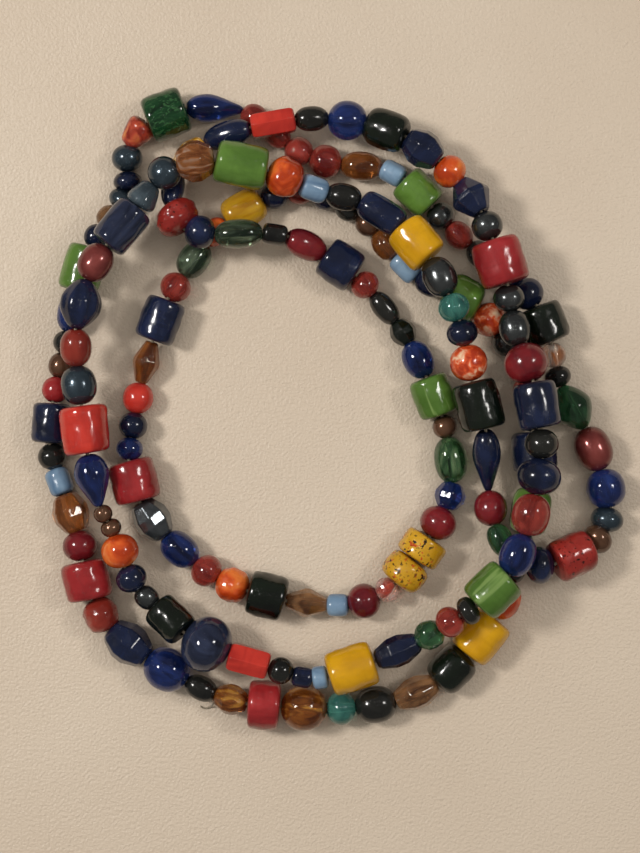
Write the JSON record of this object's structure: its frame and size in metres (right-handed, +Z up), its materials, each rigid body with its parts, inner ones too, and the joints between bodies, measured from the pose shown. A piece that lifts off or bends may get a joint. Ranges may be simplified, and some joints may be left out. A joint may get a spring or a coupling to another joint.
{
  "type": "glass bead strand",
  "caption": "Closed strand of mixed glass beads on a knotted thread, laid in about four passes around an open middle.",
  "frame": {"origin": "on the table, under the middle of the strand's outline", "axes": "+Z up from the table, +X towards the loose loop, +Y towards the side with the most crossings"},
  "size_m": [0.1438, 0.1556, 0.022],
  "materials": {
    "jet": "polished",
    "hematite": "metallic lustre",
    "gunmetal": "metallic lustre",
    "navy": "polished",
    "cobalt": "clear, polished",
    "sky": "satin",
    "teal": "clear, polished",
    "bottle": "polished",
    "emerald": "clear, polished",
    "pea": "polished",
    "amber": "clear, polished",
    "honey": "polished",
    "brown": "lustre",
    "red": "polished",
    "crimson": "polished",
    "garnet": "clear, polished",
    "coral": "marbled, polished",
    "orange": "polished",
    "yellow": "polished",
    "clear": "clear, polished",
    "thread": "twisted cotton"
  },
  "bodies": {
    "strand": {"bead_run_01": "cobalt", "bead_run_02": "amber", "bead_run_03": "brown", "bead_run_04": "gunmetal", "bead_run_05": "garnet", "bead_run_06": "jet", "bead_run_07": "clear", "bead_run_09": "emerald", "bead_run_10": "navy", "bead_run_11": "jet", "bead_run_12": "gunmetal", "bead_run_13": "navy", "bead_run_14": "brown", "bead_run_15": "jet", "bead_run_16": "emerald", "bead_run_17": "garnet", "bead_run_18": "hematite", "bead_run_19": "red", "bead_run_20": "jet", "bead_run_21": "emerald", "bead_run_22": "crimson", "bead_run_23": "garnet", "bead_run_24": "navy", "bead_run_25": "brown", "bead_run_26": "navy", "bead_run_27": "jet", "bead_run_28": "amber", "thread": "thread", "knot": "thread"},
    "right_loop": {"bead_run_08": "cobalt", "thread_loop": "thread"},
    "drum_red_01": {"drum_red_01": "red"},
    "drum_navy_02": {"drum_navy_02": "navy"},
    "drum_pea_03": {"drum_pea_03": "pea"},
    "drum_bottle_04": {"drum_bottle_04": "bottle"},
    "drum_pea_05": {"drum_pea_05": "pea"},
    "drum_bottle_06": {"drum_bottle_06": "bottle"},
    "drum_red_07": {"drum_red_07": "red"},
    "drum_bottle_08": {"drum_bottle_08": "bottle"},
    "drum_yellow_09": {"drum_yellow_09": "yellow"},
    "drum_pea_10": {"drum_pea_10": "pea"},
    "drum_navy_11": {"drum_navy_11": "navy"},
    "drum_red_12": {"drum_red_12": "red"},
    "drum_bottle_13": {"drum_bottle_13": "bottle"},
    "drum_yellow_14": {"drum_yellow_14": "yellow"},
    "drum_pea_15": {"drum_pea_15": "pea"},
    "drum_navy_16": {"drum_navy_16": "navy"},
    "drum_red_17": {"drum_red_17": "red"},
    "drum_navy_18": {"drum_navy_18": "navy"},
    "drum_pea_19": {"drum_pea_19": "pea"},
    "drum_yellow_20": {"drum_yellow_20": "yellow"},
    "drum_bottle_21": {"drum_bottle_21": "bottle"},
    "drum_red_22": {"drum_red_22": "red"},
    "drum_navy_23": {"drum_navy_23": "navy"},
    "drum_navy_24": {"drum_navy_24": "navy"},
    "drum_yellow_25": {"drum_yellow_25": "yellow"},
    "drum_red_26": {"drum_red_26": "red"}
  },
  "joints": [
    {"name": "right_loop_lift", "type": "hinge", "parent": "strand", "child": "right_loop", "pos_m": [0.05621, 0.00534, 0.00475], "axis": [-0.0527, -0.9923, 0.1124], "range_deg": [0, 20]},
    {"name": "drum_red_01_spin", "type": "hinge", "parent": "strand", "child": "drum_red_01", "pos_m": [-0.05797, -0.04134, 0.00575], "axis": [-0.2261, 0.9741, 0], "continuous": true},
    {"name": "drum_navy_02_spin", "type": "hinge", "parent": "strand", "child": "drum_navy_02", "pos_m": [-0.06669, -0.00347, 0.00475], "axis": [0.0624, 0.9981, 0], "continuous": true},
    {"name": "drum_pea_03_spin", "type": "hinge", "parent": "strand", "child": "drum_pea_03", "pos_m": [-0.059, 0.0337, 0.005], "axis": [0.2798, 0.9601, 0], "continuous": true},
    {"name": "drum_bottle_04_spin", "type": "hinge", "parent": "strand", "child": "drum_bottle_04", "pos_m": [-0.03887, 0.07073, 0.00575], "axis": [0.9367, 0.35, 0], "continuous": true},
    {"name": "drum_pea_05_spin", "type": "hinge", "parent": "strand", "child": "drum_pea_05", "pos_m": [0.02168, 0.05203, 0.00475], "axis": [0.7071, -0.7071, 0], "continuous": true},
    {"name": "drum_bottle_06_spin", "type": "hinge", "parent": "strand", "child": "drum_bottle_06", "pos_m": [0.05202, 0.02027, 0.0055], "axis": [0.3717, -0.9283, 0], "continuous": true},
    {"name": "drum_red_07_spin", "type": "hinge", "parent": "right_loop", "child": "drum_red_07", "pos_m": [0.05845, -0.03521, 0.00823], "axis": [-0.8841, -0.3863, 0.2631], "continuous": true},
    {"name": "drum_bottle_08_spin", "type": "hinge", "parent": "strand", "child": "drum_bottle_08", "pos_m": [0.03578, 0.00074, 0.012], "axis": [-0.2647, 0.9643, 0], "continuous": true},
    {"name": "drum_yellow_09_spin", "type": "hinge", "parent": "strand", "child": "drum_yellow_09", "pos_m": [0.02102, 0.03935, 0.01172], "axis": [-0.6344, 0.7582, -0.1505], "continuous": true},
    {"name": "drum_pea_10_spin", "type": "hinge", "parent": "strand", "child": "drum_pea_10", "pos_m": [-0.02048, 0.05747, 0.01428], "axis": [-0.9792, 0.1784, 0.0963], "continuous": true},
    {"name": "drum_navy_11_spin", "type": "hinge", "parent": "strand", "child": "drum_navy_11", "pos_m": [-0.04878, 0.04303, 0.01367], "axis": [-0.6165, -0.7828, 0.0845], "continuous": true},
    {"name": "drum_red_12_spin", "type": "hinge", "parent": "strand", "child": "drum_red_12", "pos_m": [-0.05771, -0.00502, 0.01252], "axis": [0.1172, -0.9931, 0], "continuous": true},
    {"name": "drum_bottle_13_spin", "type": "hinge", "parent": "strand", "child": "drum_bottle_13", "pos_m": [-0.03772, -0.05034, 0.00872], "axis": [0.7189, -0.6463, 0.2558], "continuous": true},
    {"name": "drum_yellow_14_spin", "type": "hinge", "parent": "strand", "child": "drum_yellow_14", "pos_m": [0.00567, -0.06201, 0.00983], "axis": [0.9518, 0.3068, 0], "continuous": true},
    {"name": "drum_pea_15_spin", "type": "hinge", "parent": "strand", "child": "drum_pea_15", "pos_m": [0.03872, -0.04282, 0.01653], "axis": [0.7209, 0.693, 0], "continuous": true},
    {"name": "drum_navy_16_spin", "type": "hinge", "parent": "strand", "child": "drum_navy_16", "pos_m": [0.04913, 0.00073, 0.01614], "axis": [-0.1712, 0.9852, 0], "continuous": true},
    {"name": "drum_red_17_spin", "type": "hinge", "parent": "strand", "child": "drum_red_17", "pos_m": [0.04071, 0.03463, 0.01351], "axis": [-0.3058, 0.9521, 0], "continuous": true},
    {"name": "drum_navy_18_spin", "type": "hinge", "parent": "strand", "child": "drum_navy_18", "pos_m": [0.00304, 0.0347, 0.00525], "axis": [0.8297, -0.5582, 0], "continuous": true},
    {"name": "drum_pea_19_spin", "type": "hinge", "parent": "strand", "child": "drum_pea_19", "pos_m": [0.02554, 0.00298, 0.005], "axis": [0.367, -0.9302, 0], "continuous": true},
    {"name": "drum_yellow_20_spin", "type": "hinge", "parent": "strand", "child": "drum_yellow_20", "pos_m": [0.02265, -0.03362, 0.0055], "axis": [-0.5573, -0.8303, 0], "continuous": true},
    {"name": "drum_bottle_21_spin", "type": "hinge", "parent": "strand", "child": "drum_bottle_21", "pos_m": [-0.01476, -0.04503, 0.0055], "axis": [-0.9705, 0.2412, 0], "continuous": true},
    {"name": "drum_red_22_spin", "type": "hinge", "parent": "strand", "child": "drum_red_22", "pos_m": [-0.0466, -0.01744, 0.00575], "axis": [-0.2591, 0.9658, 0], "continuous": true},
    {"name": "drum_navy_23_spin", "type": "hinge", "parent": "strand", "child": "drum_navy_23", "pos_m": [-0.04043, 0.02134, 0.005], "axis": [0.3474, 0.9377, 0], "continuous": true},
    {"name": "drum_navy_24_spin", "type": "hinge", "parent": "strand", "child": "drum_navy_24", "pos_m": [0.04968, -0.01033, 0.0055], "axis": [0.0604, -0.9982, 0], "continuous": true},
    {"name": "drum_yellow_25_spin", "type": "hinge", "parent": "strand", "child": "drum_yellow_25", "pos_m": [0.03676, -0.05477, 0.0055], "axis": [-0.6183, -0.7859, 0], "continuous": true},
    {"name": "drum_red_26_spin", "type": "hinge", "parent": "strand", "child": "drum_red_26", "pos_m": [-0.0154, -0.07128, 0.006], "axis": [-0.9971, 0.0767, 0], "continuous": true}
  ]
}
